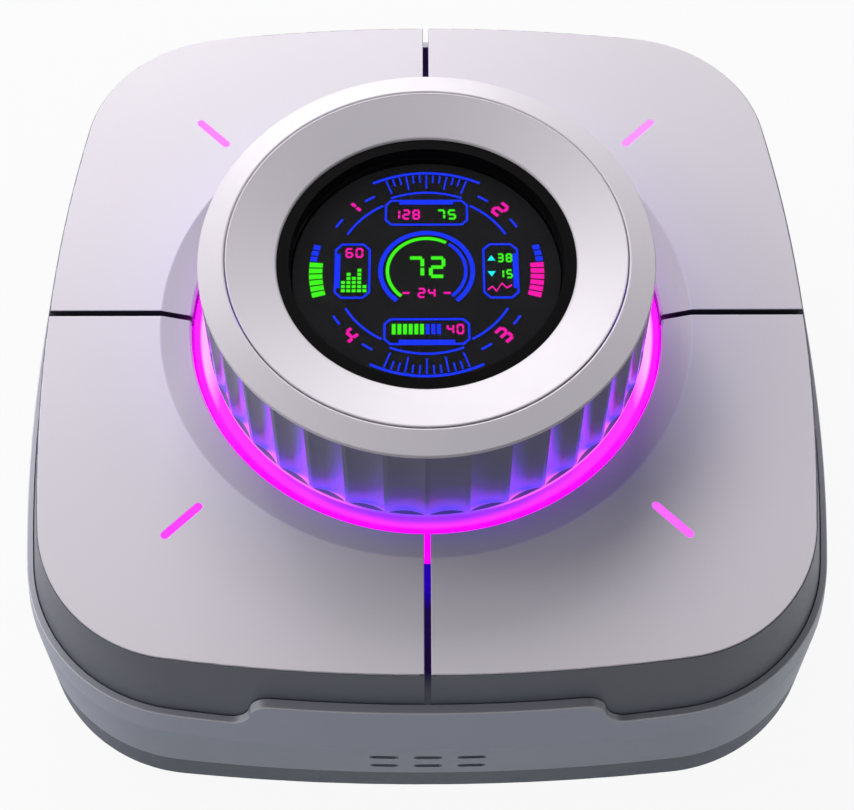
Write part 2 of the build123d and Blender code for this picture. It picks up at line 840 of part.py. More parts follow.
with BuildPart() as bearing_balls:
    with Locations((0, 0, bearing_middle)):
        with PolarLocations(ball_circle, ball_count):
            Sphere(ball_radius)
save(bearing_balls.part, "bearing_balls")

with BuildPart() as race_clip:
    ring(post_outer + clip_width, post_outer, bearing_top, bearing_top + clip_height)
save(race_clip.part, "race_clip")

# Display: cup, board, panel and glass inside the bezel
cup_outer = well_radius
cup_inner = cup_outer - cup_wall
bezel_outer = crest_radius - body_gap / 2
cup_flange = bezel_outer - cup_flange_inset
with BuildPart() as display_cup:
    turned(
        [
            (cable_hole, cup_bottom - spigot_length),
            (post_bore, cup_bottom - spigot_length),
            (post_bore, cup_bottom),
            (cup_outer, cup_bottom),
            (cup_outer, bezel_bottom - cup_flange_height),
            (cup_flange, bezel_bottom - cup_flange_height),
            (cup_flange, bezel_bottom),
            (cup_outer, bezel_bottom),
            (cup_outer, well_z - cup_rim_drop),
            (cup_inner, well_z - cup_rim_drop),
            (cup_inner, display_board_bottom),
            (cable_hole, display_board_bottom),
        ]
    )
save(display_cup.part, "display_cup")

with BuildPart() as display_board:
    ring(cup_inner - panel_play, cable_hole, display_board_bottom, panel_floor)
save(display_board.part, "display_board")

with BuildPart() as display_panel:
    pegs([(0, 0)], cup_inner - panel_play, panel_floor, glass_bottom)
save(display_panel.part, "display_panel")

with BuildPart() as cover_glass:
    pegs([(0, 0)], cup_inner - touch_gap, glass_bottom, glass_top)
save(cover_glass.part, "cover_glass")

bezel_slope = (crest_z - well_z) / (crest_radius - well_radius)
with BuildPart() as screen_bezel:
    turned(
        [
            (well_radius, bezel_bottom),
            (bezel_outer, bezel_bottom),
            (bezel_outer, well_z + bezel_slope * (bezel_outer - well_radius)),
            (well_radius, well_z),
        ]
    )
    inner_edge = screen_bezel.edges().filter_by(GeomType.CIRCLE).filter_by(
        lambda edge: abs(edge.center().Z - well_z) < touch_gap
    )
    fillet(inner_edge, radius=bezel_edge)
save(screen_bezel.part, "screen_bezel")

# Dial: fluted grip, cap ring, hub and the magnet that the sensor reads
cap_bore = crest_radius + body_gap / 2
cap_slope = (crest_z - rim_z) / (dial_rim_radius - crest_radius)
with BuildPart() as dial_cap:
    turned(
        [
            (cap_bore, grip_top - cap_spigot),
            (grip_bore, grip_top - cap_spigot),
            (grip_bore, grip_top),
            (dial_rim_radius, grip_top),
            (dial_rim_radius, rim_z),
            (cap_bore, rim_z + cap_slope * (dial_rim_radius - cap_bore)),
        ]
    )
    fillet(dial_cap.edges().filter_by(lambda edge: edge.center().Z > rim_z - touch_gap), radius=cap_round)
save(dial_cap.part, "dial_cap")

# A flute is a leaning cylinder cut that leaves a narrow land beside the next one
flute_half = pi * dial_rim_radius / flute_count - flute_land / 2
flute_radius = (flute_half**2 + flute_depth**2) / (2 * flute_depth)
grip_height = grip_top - grip_bottom
flute_lean = degrees(atan2(dial_foot_radius - dial_rim_radius, grip_height))
flute_axis = (-sin(radians(flute_lean)), 0, cos(radians(flute_lean)))
flute_bottom = grip_bottom + flute_foot
flute_middle = (dial_rim_radius + dial_foot_radius) / 2 + flute_radius - flute_depth
flute_level = (grip_top + grip_bottom) / 2
hub_screw_top = hub_top + hub_screw_bite
with BuildPart() as flute_cutter:
    with BuildSketch(Plane((flute_middle, 0, flute_level), z_dir=flute_axis)):
        Circle(flute_radius)
    extrude(amount=grip_height, both=True)
    with BuildSketch(Plane.XY.offset(flute_bottom)):
        Rectangle(4 * flute_middle, 4 * flute_middle)
    extrude(amount=2 * grip_height, mode=Mode.INTERSECT)

with BuildPart() as dial_grip:
    turned(
        [
            (grip_bore, grip_bottom),
            (dial_foot_radius, grip_bottom),
            (dial_foot_radius, flute_bottom),
            (dial_rim_radius, grip_top),
            (grip_bore, grip_top),
            (grip_bore, hub_top + ledge_height),
            (ledge_radius, hub_top + ledge_height),
            (ledge_radius, hub_top),
            (grip_bore, hub_top),
        ]
    )
    for index in range(flute_count):
        flute_angle = -90 + (index + 0.5) * 360 / flute_count
        add(flute_cutter.part.rotate(Axis.Z, flute_angle), mode=Mode.SUBTRACT)
    with BuildSketch(Plane.XY.offset(hub_top)):
        with PolarLocations(hub_screw_reach, hub_screw_count):
            Circle(hub_screw_radius)
    extrude(amount=hub_screw_bite, mode=Mode.SUBTRACT)
save(dial_grip.part, "dial_grip")

with BuildPart() as dial_hub:
    turned(
        [
            (outer_race_radius, hub_bottom),
            (grip_bore, hub_bottom),
            (grip_bore, hub_top),
            (outer_race_radius - hub_lip, hub_top),
            (outer_race_radius - hub_lip, race_top),
            (outer_race_radius, race_top),
        ]
    )
    with BuildSketch(Plane.XY.offset(hub_bottom)):
        with PolarLocations(hub_screw_reach, hub_screw_count):
            Circle(hub_screw_radius)
    extrude(amount=hub_top - hub_bottom, mode=Mode.SUBTRACT)
    with BuildSketch(Plane.XY.offset(hub_bottom)):
        with PolarLocations(hub_screw_reach, hub_screw_count):
            Circle(hub_screw_head)
    extrude(amount=hub_screw_head_height, mode=Mode.SUBTRACT)
save(dial_hub.part, "dial_hub")

with BuildPart() as hub_screws:
    with BuildSketch(Plane.XY.offset(hub_bottom)):
        with PolarLocations(hub_screw_reach, hub_screw_count):
            Circle(hub_screw_head)
    extrude(amount=hub_screw_head_height)
    with BuildSketch(Plane.XY.offset(hub_bottom + hub_screw_head_height)):
        with PolarLocations(hub_screw_reach, hub_screw_count):
            Circle(hub_screw_radius)
    extrude(amount=hub_screw_top - hub_bottom - hub_screw_head_height)
save(hub_screws.part, "hub_screws")

with BuildPart() as magnet_ring:
    ring(magnet_outer, magnet_inner, hub_bottom - magnet_height, hub_bottom)
save(magnet_ring.part, "magnet_ring")
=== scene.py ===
import math

import bmesh
import bpy
from mathutils import Matrix, Vector


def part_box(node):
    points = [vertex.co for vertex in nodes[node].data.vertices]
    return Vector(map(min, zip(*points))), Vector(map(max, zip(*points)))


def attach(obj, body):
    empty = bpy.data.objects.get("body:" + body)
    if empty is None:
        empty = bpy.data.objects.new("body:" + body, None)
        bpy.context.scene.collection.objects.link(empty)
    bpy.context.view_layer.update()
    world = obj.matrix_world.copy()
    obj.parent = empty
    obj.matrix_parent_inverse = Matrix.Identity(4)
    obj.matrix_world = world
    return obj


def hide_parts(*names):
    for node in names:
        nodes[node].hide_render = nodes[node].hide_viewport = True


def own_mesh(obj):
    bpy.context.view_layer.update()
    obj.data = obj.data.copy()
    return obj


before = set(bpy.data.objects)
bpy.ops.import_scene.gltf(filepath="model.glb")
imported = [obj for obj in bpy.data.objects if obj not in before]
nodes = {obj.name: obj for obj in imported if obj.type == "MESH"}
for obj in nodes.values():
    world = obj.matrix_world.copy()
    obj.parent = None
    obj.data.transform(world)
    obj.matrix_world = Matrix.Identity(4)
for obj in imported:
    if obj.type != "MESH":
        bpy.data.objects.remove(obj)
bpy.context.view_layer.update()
scene = bpy.context.scene
MM = 0.001

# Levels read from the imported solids
panel_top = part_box("display_panel")[1].z
glass_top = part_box("cover_glass")[1].z
glass_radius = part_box("cover_glass")[1].x
grip_low, grip_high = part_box("dial_grip")


# Node helpers

def shader_of(name):
    """A new material, its node tree and its main shader."""
    material = bpy.data.materials.new(name)
    material.use_nodes = True
    tree = material.node_tree
    return material, tree, tree.nodes["Principled BSDF"]


def put(tree, kind, inputs=None, **settings):
    """Add a node, set it up and feed its inputs with values or other nodes' outputs."""
    item = tree.nodes.new(kind)
    for key, value in settings.items():
        setattr(item, key, value)
    feed(tree, item, inputs or {})
    return item


def feed(tree, item, inputs):
    """Give a node's inputs values or other nodes' outputs."""
    for key, value in inputs.items():
        if isinstance(value, bpy.types.NodeSocket):
            tree.links.new(value, item.inputs[key])
        else:
            item.inputs[key].default_value = value


def place_of(tree):
    """Object coordinates, in metres in the part's own frame."""
    return put(tree, "ShaderNodeTexCoord").outputs["Object"]


def cloud(tree, per_metre, detail=3.0):
    """Soft noise with so many lumps to the metre."""
    return put(tree, "ShaderNodeTexNoise", {
        "Vector": place_of(tree), "Scale": per_metre, "Detail": detail,
    }).outputs["Fac"]


def spread(tree, value, low, high, start=0.3, end=0.7):
    """Map a value from one span to another."""
    return put(tree, "ShaderNodeMapRange", {
        "Value": value, "From Min": start, "From Max": end, "To Min": low, "To Max": high,
    }).outputs["Result"]


def sums(tree, operation, first, second=0.0):
    """One step of arithmetic."""
    return put(tree, "ShaderNodeMath", {0: first, 1: second}, operation=operation).outputs["Value"]


def tones(tree, value, *stops):
    """Colours along a value."""
    ramp = put(tree, "ShaderNodeValToRGB", {"Fac": value})
    elements = ramp.color_ramp.elements
    while len(elements) < len(stops):
        elements.new(1.0)
    for element, (position, colour) in zip(elements, stops):
        element.position = position
        element.color = (*colour, 1.0)
    return ramp.outputs["Color"]


def height_of(tree):
    """Height above the table, in metres."""
    return put(tree, "ShaderNodeSeparateXYZ", {"Vector": place_of(tree)}).outputs["Z"]


def reach_of(tree):
    """Distance from the dial's axis, in metres."""
    flat = put(tree, "ShaderNodeVectorMath", {0: place_of(tree), 1: (1.0, 1.0, 0.0)}, operation="MULTIPLY")
    return put(tree, "ShaderNodeVectorMath", {0: flat.outputs[0]}, operation="LENGTH").outputs["Value"]


def turn_of(tree):
    """Angle about the dial's axis, in radians."""
    split = put(tree, "ShaderNodeSeparateXYZ", {"Vector": place_of(tree)})
    return sums(tree, "ARCTAN2", split.outputs["Y"], split.outputs["X"])


def bumps(tree, shader, height, depth, strength=1.0):
    """Raise the surface by a height map, depth in metres."""
    lift = put(tree, "ShaderNodeBump", {"Height": height, "Distance": depth, "Strength": strength})
    tree.links.new(lift.outputs["Normal"], shader.inputs["Normal"])


# Finishes

# Lumps to the metre in the drift of tone and in the drift of gloss
DRIFT_SCALE = 45.0
GLOSS_SCALE = 900.0
SILVER = (0.80, 0.765, 0.815)


def moulded(name, colour, tone, rough, grain, depth, metallic=0.0, specular=0.5):
    """Plastic, lacquer or metal with a fine grain and a slight drift of tone and gloss."""
    material, tree, shader = shader_of(name)
    drift = cloud(tree, DRIFT_SCALE)
    dark = [part * (1 - tone) for part in colour]
    light = [min(1.0, part * (1 + tone)) for part in colour]
    feed(tree, shader, {
        "Base Color": tones(tree, drift, (0.3, dark), (0.7, light)),
        "Roughness": spread(tree, cloud(tree, GLOSS_SCALE), rough - 0.03, rough + 0.03),
        "Metallic": metallic,
        "Specular IOR Level": specular,
    })
    bumps(tree, shader, cloud(tree, grain, 2.0), depth)
    return material


silver_lacquer = moulded("silver_lacquer", SILVER, 0.012, 0.42, 7000.0, 0.000002)
satin_silver = moulded("satin_silver", SILVER, 0.012, 0.36, 9000.0, 0.000002)
graphite_plastic = moulded(
    "graphite_plastic", (0.200, 0.212, 0.253), 0.03, 0.46, 5000.0, 0.000004, specular=0.2,
)
case_plastic = moulded("case_plastic", (0.51, 0.540, 0.655), 0.02, 0.44, 5000.0, 0.000004, specular=0.3)
cover_plastic = moulded("cover_plastic", (0.100, 0.123, 0.170), 0.03, 0.46, 5000.0, 0.000004, specular=0.1)
foot_rubber = moulded("foot_rubber", (0.03, 0.03, 0.032), 0.10, 0.80, 3000.0, 0.00001)
black_plastic = moulded("black_plastic", (0.0045, 0.0045, 0.0047), 0.05, 0.6, 5000.0, 0.000003, specular=0.02)
chip_black = moulded("chip_black", (0.03, 0.03, 0.032), 0.06, 0.55, 6000.0, 0.000003)
lamp_body = moulded("lamp_body", (0.85, 0.83, 0.76), 0.03, 0.35, 4000.0, 0.000002)
bright_steel = moulded("bright_steel", (0.60, 0.60, 0.62), 0.04, 0.28, 3500.0, 0.000002, metallic=1.0)
magnet_black = moulded("magnet_black", (0.07, 0.07, 0.075), 0.08, 0.55, 4000.0, 0.000005)


def coat(material, colour, mask):
    """Lay another colour over a finish where a mask is one."""
    tree = material.node_tree
    shader = tree.nodes["Principled BSDF"]
    under = shader.inputs["Base Color"].links[0].from_socket
    mix = put(tree, "ShaderNodeMix", {0: mask, 6: under, 7: (*colour, 1.0)}, data_type="RGBA")
    feed(tree, shader, {"Base Color": mix.outputs[2]})


def lift_of(tree):
    """How far a face looks up, from minus one to one."""
    normal = put(tree, "ShaderNodeTexCoord").outputs["Normal"]
    return put(tree, "ShaderNodeSeparateXYZ", {"Vector": normal}).outputs["Z"]


def gap_walls(tree):
    """The upright walls of the gaps between the keys."""
    upright = spread(tree, sums(tree, "ABSOLUTE", lift_of(tree)), 1.0, 0.0, 0.2, 0.6)
    place = put(tree, "ShaderNodeSeparateXYZ", {"Vector": place_of(tree)}).outputs
    nearest = sums(tree, "MINIMUM", sums(tree, "ABSOLUTE", place["X"]), sums(tree, "ABSOLUTE", place["Y"]))
    return sums(tree, "MULTIPLY", upright, spread(tree, nearest, 1.0, 0.0, 0.8 * MM, 1.2 * MM))


# Painted shade on the plates' dish round the dial and on the walls of the gaps between the keys
painted_dish_shade = (0.645, 0.645, 0.58)
painted_gap_shade = (0.05, 0.052, 0.062)
dish_inside, dish_outside = 34.9 * MM, 35.3 * MM
silver_tree = silver_lacquer.node_tree
dish_shade_area = spread(silver_tree, reach_of(silver_tree), 1.0, 0.0, dish_inside, dish_outside)
# Darker dish round the dial: painted shade laid over the lacquer
coat(silver_lacquer, painted_dish_shade, dish_shade_area)
# Dark gap walls between the keys: painted shade laid over the lacquer
coat(silver_lacquer, painted_gap_shade, gap_walls(silver_tree))

# Painted highlight on the case's rim edge, painted shade on its rim top and on its lower band, told apart by
# how far they look up
painted_rim_highlight = (0.95, 0.96, 1.0)
painted_rim_shade = (0.50, 0.51, 0.57)
painted_band_shade = (0.295, 0.335, 0.430)
case_tree = case_plastic.node_tree
coat(case_plastic, painted_rim_highlight, spread(case_tree, lift_of(case_tree), 0.0, 1.0, 0.25, 0.5))
coat(case_plastic, painted_rim_shade, spread(case_tree, lift_of(case_tree), 0.0, 1.0, 0.85, 0.97))
coat(case_plastic, painted_band_shade, spread(case_tree, lift_of(case_tree), 1.0, 0.0, 0.06, 0.14))


def circuit_finish():
    """Solder mask over copper traces."""
    material, tree, shader = shader_of("circuit_board")
    traces = put(tree, "ShaderNodeTexBrick", {
        "Vector": place_of(tree), "Scale": 420.0, "Mortar Size": 0.12,
        "Color1": (0.010, 0.060, 0.030, 1.0), "Color2": (0.012, 0.075, 0.036, 1.0),
        "Mortar": (0.030, 0.150, 0.065, 1.0),
    })
    feed(tree, shader, {
        "Base Color": traces.outputs["Color"],
        "Roughness": spread(tree, cloud(tree, 1500.0), 0.30, 0.42),
    })
    bumps(tree, shader, traces.outputs["Fac"], 0.00002)
    return material


def grip_finish():
    """Smoked plastic with painted light: the ring's glow painted near its foot and, at the dial's sides, a
    painted reflection of the ring up the front half of each flute.
    """
    side_share = 0.08
    full_shelter, full_climb = 0.30, 8.0
    foot_low, foot_high, foot_rise = 0.05, 0.06, 0.055
    material, tree, shader = shader_of("grip_painted_glow")
    normal = put(tree, "ShaderNodeSeparateXYZ", {
        "Vector": put(tree, "ShaderNodeTexCoord").outputs["Normal"],
    }).outputs
    place = put(tree, "ShaderNodeSeparateXYZ", {"Vector": place_of(tree)}).outputs
    reach = reach_of(tree)
    tilt = sums(tree, "SUBTRACT", normal["Y"], sums(tree, "DIVIDE", place["Y"], reach))
    aside = sums(tree, "DIVIDE", sums(tree, "ABSOLUTE", place["X"]), reach)
    lean = sums(tree, "ADD", tilt, sums(tree, "MULTIPLY", aside, side_share))
    climb = spread(tree, sums(tree, "MULTIPLY", aside, lean), 1.0, full_climb, 0.0, full_shelter)
    level = spread(tree, place["Z"], 0.0, 1.0, grip_low.z, grip_high.z)
    near_foot = spread(tree, level, foot_rise, 0.0, foot_low, foot_high)
    foot = sums(tree, "MULTIPLY", near_foot, spread(tree, aside, 1.0, 0.0, 0.2, 0.5))
    rise = sums(tree, "MAXIMUM", sums(tree, "DIVIDE", level, climb), foot)
    upright = spread(tree, sums(tree, "ABSOLUTE", normal["Z"]), 1.0, 0.04, 0.35, 0.80)
    feed(tree, shader, {
        "Base Color": tones(
            tree, cloud(tree, 60.0), (0.3, (0.255, 0.258, 0.365)), (0.7, (0.270, 0.273, 0.385)),
        ),
        "Roughness": spread(tree, cloud(tree, GLOSS_SCALE), 0.13, 0.16),
        "Specular IOR Level": 0.25,
        # Emission here is painted light from the ring, not a lamp of the grip's own
        "Emission Color": tones(
            tree, rise,
            (0.0, (1.0, 0.15, 1.0)), (0.022, (0.92, 0.11, 1.0)), (0.042, (0.28, 0.050, 1.0)),
            (0.065, (0.07, 0.035, 0.95)), (0.15, (0.040, 0.028, 0.60)), (0.29, (0.013, 0.011, 0.14)),
            (0.48, (0.004, 0.003, 0.025)), (0.80, (0.0, 0.0, 0.0)),
        ),
        "Emission Strength": upright,
    })
    bumps(tree, shader, cloud(tree, 6000.0, 2.0), 0.000002)
    return material


def ring_finish():
    """Diffuser over a row of lamps, with a painted reflection paler near the dial, painted highlights at both
    sides, and painted violet light beside the dial's front.
    """
    material, tree, shader = shader_of("ring_diffuser")
    place = put(tree, "ShaderNodeSeparateXYZ", {"Vector": place_of(tree)}).outputs
    reach = reach_of(tree)
    inner = spread(tree, reach, 1.0, 0.0, 29.9 * MM, 30.3 * MM)
    painted_side_highlights = spread(tree, sums(tree, "ABSOLUTE", place["X"]), 0.035, 0.45, 26.8 * MM, 29.0 * MM)
    painted_violet_near = spread(tree, reach, 0.7, 0.0, 29.0 * MM, 29.9 * MM)
    front = spread(tree, place["Y"], 1.0, 0.0, -27.5 * MM, -18.0 * MM)
    lamp_count = 24.0
    # Green carries the painted reflection and highlights, the cut in red the painted violet light; the rest
    # is the lamps' own glow
    glow = put(tree, "ShaderNodeCombineColor", {
        "Red": sums(tree, "SUBTRACT", 1.0, sums(tree, "MULTIPLY", painted_violet_near, front)),
        "Green": sums(tree, "MULTIPLY", inner, painted_side_highlights),
        "Blue": 1.0,
    })
    beat = sums(tree, "COSINE", sums(tree, "MULTIPLY", turn_of(tree), lamp_count))
    feed(tree, shader, {
        "Base Color": tones(tree, cloud(tree, 200.0), (0.3, (0.58, 0.008, 0.58)), (0.7, (0.62, 0.010, 0.62))),
        "Roughness": 0.15,
        "Specular IOR Level": 0.2,
        "Emission Color": glow.outputs["Color"],
        "Emission Strength": spread(tree, beat, 1.0, 1.1, -1.0, 1.0),
    })
    return material


def bar_finish():
    """Diffuser of a light bar, with a painted reflection that makes it paler towards the back right."""
    material, tree, shader = shader_of("bar_diffuser")
    place = put(tree, "ShaderNodeSeparateXYZ", {"Vector": place_of(tree)}).outputs
    glow = put(tree, "ShaderNodeCombineColor", {
        "Red": spread(tree, cloud(tree, 700.0), 0.92, 1.0),
        # Green rising towards the back right: painted reflection
        "Green": spread(tree, sums(tree, "ADD", place["X"], place["Y"]), 0.005, 0.30, -50 * MM, 50 * MM),
        "Blue": 1.0,
    })
    feed(tree, shader, {
        "Base Color": tones(tree, cloud(tree, 500.0), (0.3, (0.78, 0.04, 0.78)), (0.7, (0.86, 0.06, 0.86))),
        "Roughness": 0.4,
        "Specular IOR Level": 0.3,
        "Emission Color": glow.outputs["Color"],
        "Emission Strength": 0.8,
    })
    bumps(tree, shader, cloud(tree, 2500.0), 0.000006)
    return material


def deck_finish():
    """Black deck with painted blue light spilling from under the ring, and painted grey light near its outer
    edge.
    """
    material, tree, shader = shader_of("deck_plastic")
    feed(tree, shader, {
        "Base Color": tones(
            tree, cloud(tree, 60.0), (0.3, (0.012, 0.011, 0.016)), (0.7, (0.016, 0.014, 0.022)),
        ),
        "Roughness": spread(tree, cloud(tree, GLOSS_SCALE), 0.5, 0.6),
        # Emission here is painted light: blue near the ring, grey near the deck's outer edge
        "Emission Color": tones(
            tree, spread(tree, reach_of(tree), 0.0, 1.0, 31 * MM, 52 * MM),
            (0.0, (0.03, 0.0, 0.55)), (0.13, (0.016, 0.0, 0.34)), (0.24, (0.008, 0.002, 0.05)),
            (0.64, (0.006, 0.002, 0.03)), (0.76, (0.040, 0.043, 0.052)),
        ),
        "Emission Strength": 1.0,
    })
    bumps(tree, shader, cloud(tree, 5000.0, 2.0), 0.000003)
    return material


def pixel_grid(tree, strength):
    """A fine grid of dark lines between the screen's picture points."""
    split = put(tree, "ShaderNodeSeparateXYZ", {"Vector": place_of(tree)})
    per_metre = 7400.0
    lines = []
    for axis in ("X", "Y"):
        wave = sums(tree, "COSINE", sums(tree, "MULTIPLY", split.outputs[axis], per_metre * 2 * math.pi))
        lines.append(spread(tree, wave, 1.0, 1.0 - strength, 0.2, 1.0))
    return sums(tree, "MULTIPLY", lines[0], lines[1])


def lit_finish(name, colour):
    """A lit part of the screen's picture."""
    material, tree, shader = shader_of(name)
    dim = [part * 0.82 for part in colour]
    feed(tree, shader, {
        "Base Color": (0.0, 0.0, 0.0, 1.0),
        "Roughness": 0.6,
        "Specular IOR Level": 0.0,
        "Emission Color": tones(tree, pixel_grid(tree, 0.2), (0.6, dim), (1.0, colour)),
        "Emission Strength": 1.0,
    })
    return material


def panel_finish():
    """The dark screen, with a faint grid of picture points."""
    material, tree, shader = shader_of("dark_screen")
    feed(tree, shader, {
        "Base Color": (0.004, 0.004, 0.0045, 1.0),
        "Roughness": 0.6,
        "Specular IOR Level": 0.02,
        "Emission Color": tones(
            tree, pixel_grid(tree, 0.2), (0.6, (0.0046, 0.0046, 0.0048)), (1.0, (0.0052, 0.0052, 0.0054)),
        ),
        "Emission Strength": 1.0,
    })
    return material


def glass_finish():
    """Clear coated glass."""
    material, tree, shader = shader_of("screen_glass")
    feed(tree, shader, {
        "Base Color": tones(tree, cloud(tree, 30.0), (0.3, (0.97, 0.97, 0.98)), (0.7, (1.0, 1.0, 1.0))),
        "Roughness": 0.0,
        "IOR": 1.05,
        "Transmission Weight": 1.0,
    })
    return material


circuit_board = circuit_finish()
grip_painted_glow = grip_finish()
ring_diffuser = ring_finish()
bar_diffuser = bar_finish()
deck_plastic = deck_finish()
dark_screen = panel_finish()
screen_glass = glass_finish()
lit_blue = lit_finish("lit_blue", (0.012, 0.040, 1.0))
lit_green = lit_finish("lit_green", (0.060, 1.0, 0.015))
lit_magenta = lit_finish("lit_magenta", (1.0, 0.012, 0.44))
lit_cyan = lit_finish("lit_cyan", (0.02, 1.0, 1.0))

finishes = {
    "key_plate_": silver_lacquer, "key_carrier_": graphite_plastic, "light_bar_": bar_diffuser,
    "stem_screws_": bright_steel, "key_spring_": bright_steel, "lower_case": case_plastic,
    "bottom_cover": cover_plastic, "rubber_feet": foot_rubber, "cover_screws": bright_steel,
    "main_board": circuit_board, "board_screws": bright_steel, "board_chips": chip_black,
    "key_switches": chip_black, "dial_switch": chip_black, "bar_lamps": lamp_body,
    "usb_socket": bright_steel, "usb_tongue": black_plastic, "deck_screws": bright_steel,
    "deck": deck_plastic, "lamp_board": circuit_board, "ring_lamps": lamp_body,
    "dial_sensor": chip_black, "light_ring": ring_diffuser, "dial_spring": bright_steel,
    "dial_post": black_plastic, "post_retainer": bright_steel, "bearing_": bright_steel,
    "race_clip": bright_steel, "display_cup": black_plastic, "display_board": circuit_board,
    "display_panel": dark_screen, "screen_bezel": satin_silver, "dial_grip": grip_painted_glow,
    "dial_cap": satin_silver, "dial_hub": black_plastic, "hub_screws": bright_steel,
    "magnet_ring": magnet_black, "cover_glass": screen_glass,
}


def finish_of(name):
    """The finish for a solid, by its own name or its family's."""
    for key, material in finishes.items():
        if name == key or (key.endswith("_") and name.startswith(key)):
            return material
    raise KeyError(name)


for name, piece in nodes.items():
    piece.data.materials.clear()
    piece.data.materials.append(finish_of(name))


# New pieces

def add_piece(name, shape, material, body):
    """Make a mesh object from a finished bmesh and let it ride on a body."""
    bmesh.ops.remove_doubles(shape, verts=shape.verts, dist=1e-7)
    bmesh.ops.recalc_face_normals(shape, faces=shape.faces)
    mesh = bpy.data.meshes.new(name)
    shape.to_mesh(mesh)
    shape.free()
    mesh.materials.append(material)
    piece = bpy.data.objects.new(name, mesh)
    scene.collection.objects.link(piece)
    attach(piece, body)
    return piece


# Cover glass: a disc with a ground edge, held just above the picture
glass_gap = 0.15 * MM
glass_edge = 0.2 * MM
glass_shape = bmesh.new()
bmesh.ops.create_circle(
    glass_shape, cap_ends=True, segments=180, radius=glass_radius,
    matrix=Matrix.Translation((0, 0, panel_top + glass_gap)),
)
lifted = bmesh.ops.extrude_face_region(glass_shape, geom=glass_shape.faces[:])
top_points = [item for item in lifted["geom"] if isinstance(item, bmesh.types.BMVert)]
bmesh.ops.translate(glass_shape, verts=top_points, vec=(0, 0, glass_top - panel_top - glass_gap))
rim_edges = [edge for edge in glass_shape.edges if abs(edge.verts[0].co.z - edge.verts[1].co.z) < 1e-9]
bmesh.ops.bevel(
    glass_shape, geom=rim_edges, offset=glass_edge, offset_type="OFFSET", segments=2,
    profile=0.5, affect="EDGES", material=-1,
)
glass = add_piece("screen_glass", glass_shape, screen_glass, "dial_carriage")
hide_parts("cover_glass")


# Springs of the keys and the dial, copied into pieces of their own that ride on the base
quarters = ("front_left", "front_right", "back_left", "back_right")
spring_joints = {"dial_spring": "dial_press"}
spring_joints.update({f"key_spring_{quarter}": f"key_press_{quarter}" for quarter in quarters})
for spring, joint in spring_joints.items():
    coil_shape = bmesh.new()
    coil_shape.from_mesh(nodes[spring].data)
    coil = add_piece(f"{spring}_coil", coil_shape, bright_steel, "base")
    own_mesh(coil)
    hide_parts(spring)


# Lip on the bezel's edge that narrows the seam to the turning cap
lip_out = 0.15 * MM
lip_in = 0.05 * MM
lip_height = 1.0 * MM
lip_edge = 0.05 * MM
bezel_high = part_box("screen_bezel")[1]
lip_shape = bmesh.new()
lip_profile = [
    (bezel_high.x - lip_in, bezel_high.z - lip_height), (bezel_high.x + lip_out, bezel_high.z - lip_height),
    (bezel_high.x + lip_out, bezel_high.z - lip_edge), (bezel_high.x + lip_out - lip_edge, bezel_high.z),
    (bezel_high.x - lip_in, bezel_high.z),
]
lip_points = [lip_shape.verts.new((reach, 0, level)) for reach, level in lip_profile]
lip_lines = [
    lip_shape.edges.new((lip_points[index - 1], lip_points[index])) for index in range(len(lip_points))
]
bmesh.ops.spin(
    lip_shape, geom=[*lip_points, *lip_lines], cent=(0, 0, 0), axis=(0, 0, 1), angle=math.tau, steps=240,
    use_merge=True,
)
add_piece("bezel_lip", lip_shape, satin_silver, "dial_carriage")


# The picture on the screen: plain gauges, bars and numbers, in millimetres about the screen's centre

picture_level = panel_top + 0.02 * MM
picture_thickness = 0.05 * MM


# Shares of a line's width kept clear at a digit's segments, a digit's pitch by its width, and the share of a
# line that a frame's cut corners lose on the inside
END_GAP = 1.15
SIDE_GAP = 1.08
DIGIT_PITCH = 1.28
CUT_LOSS = 0.586


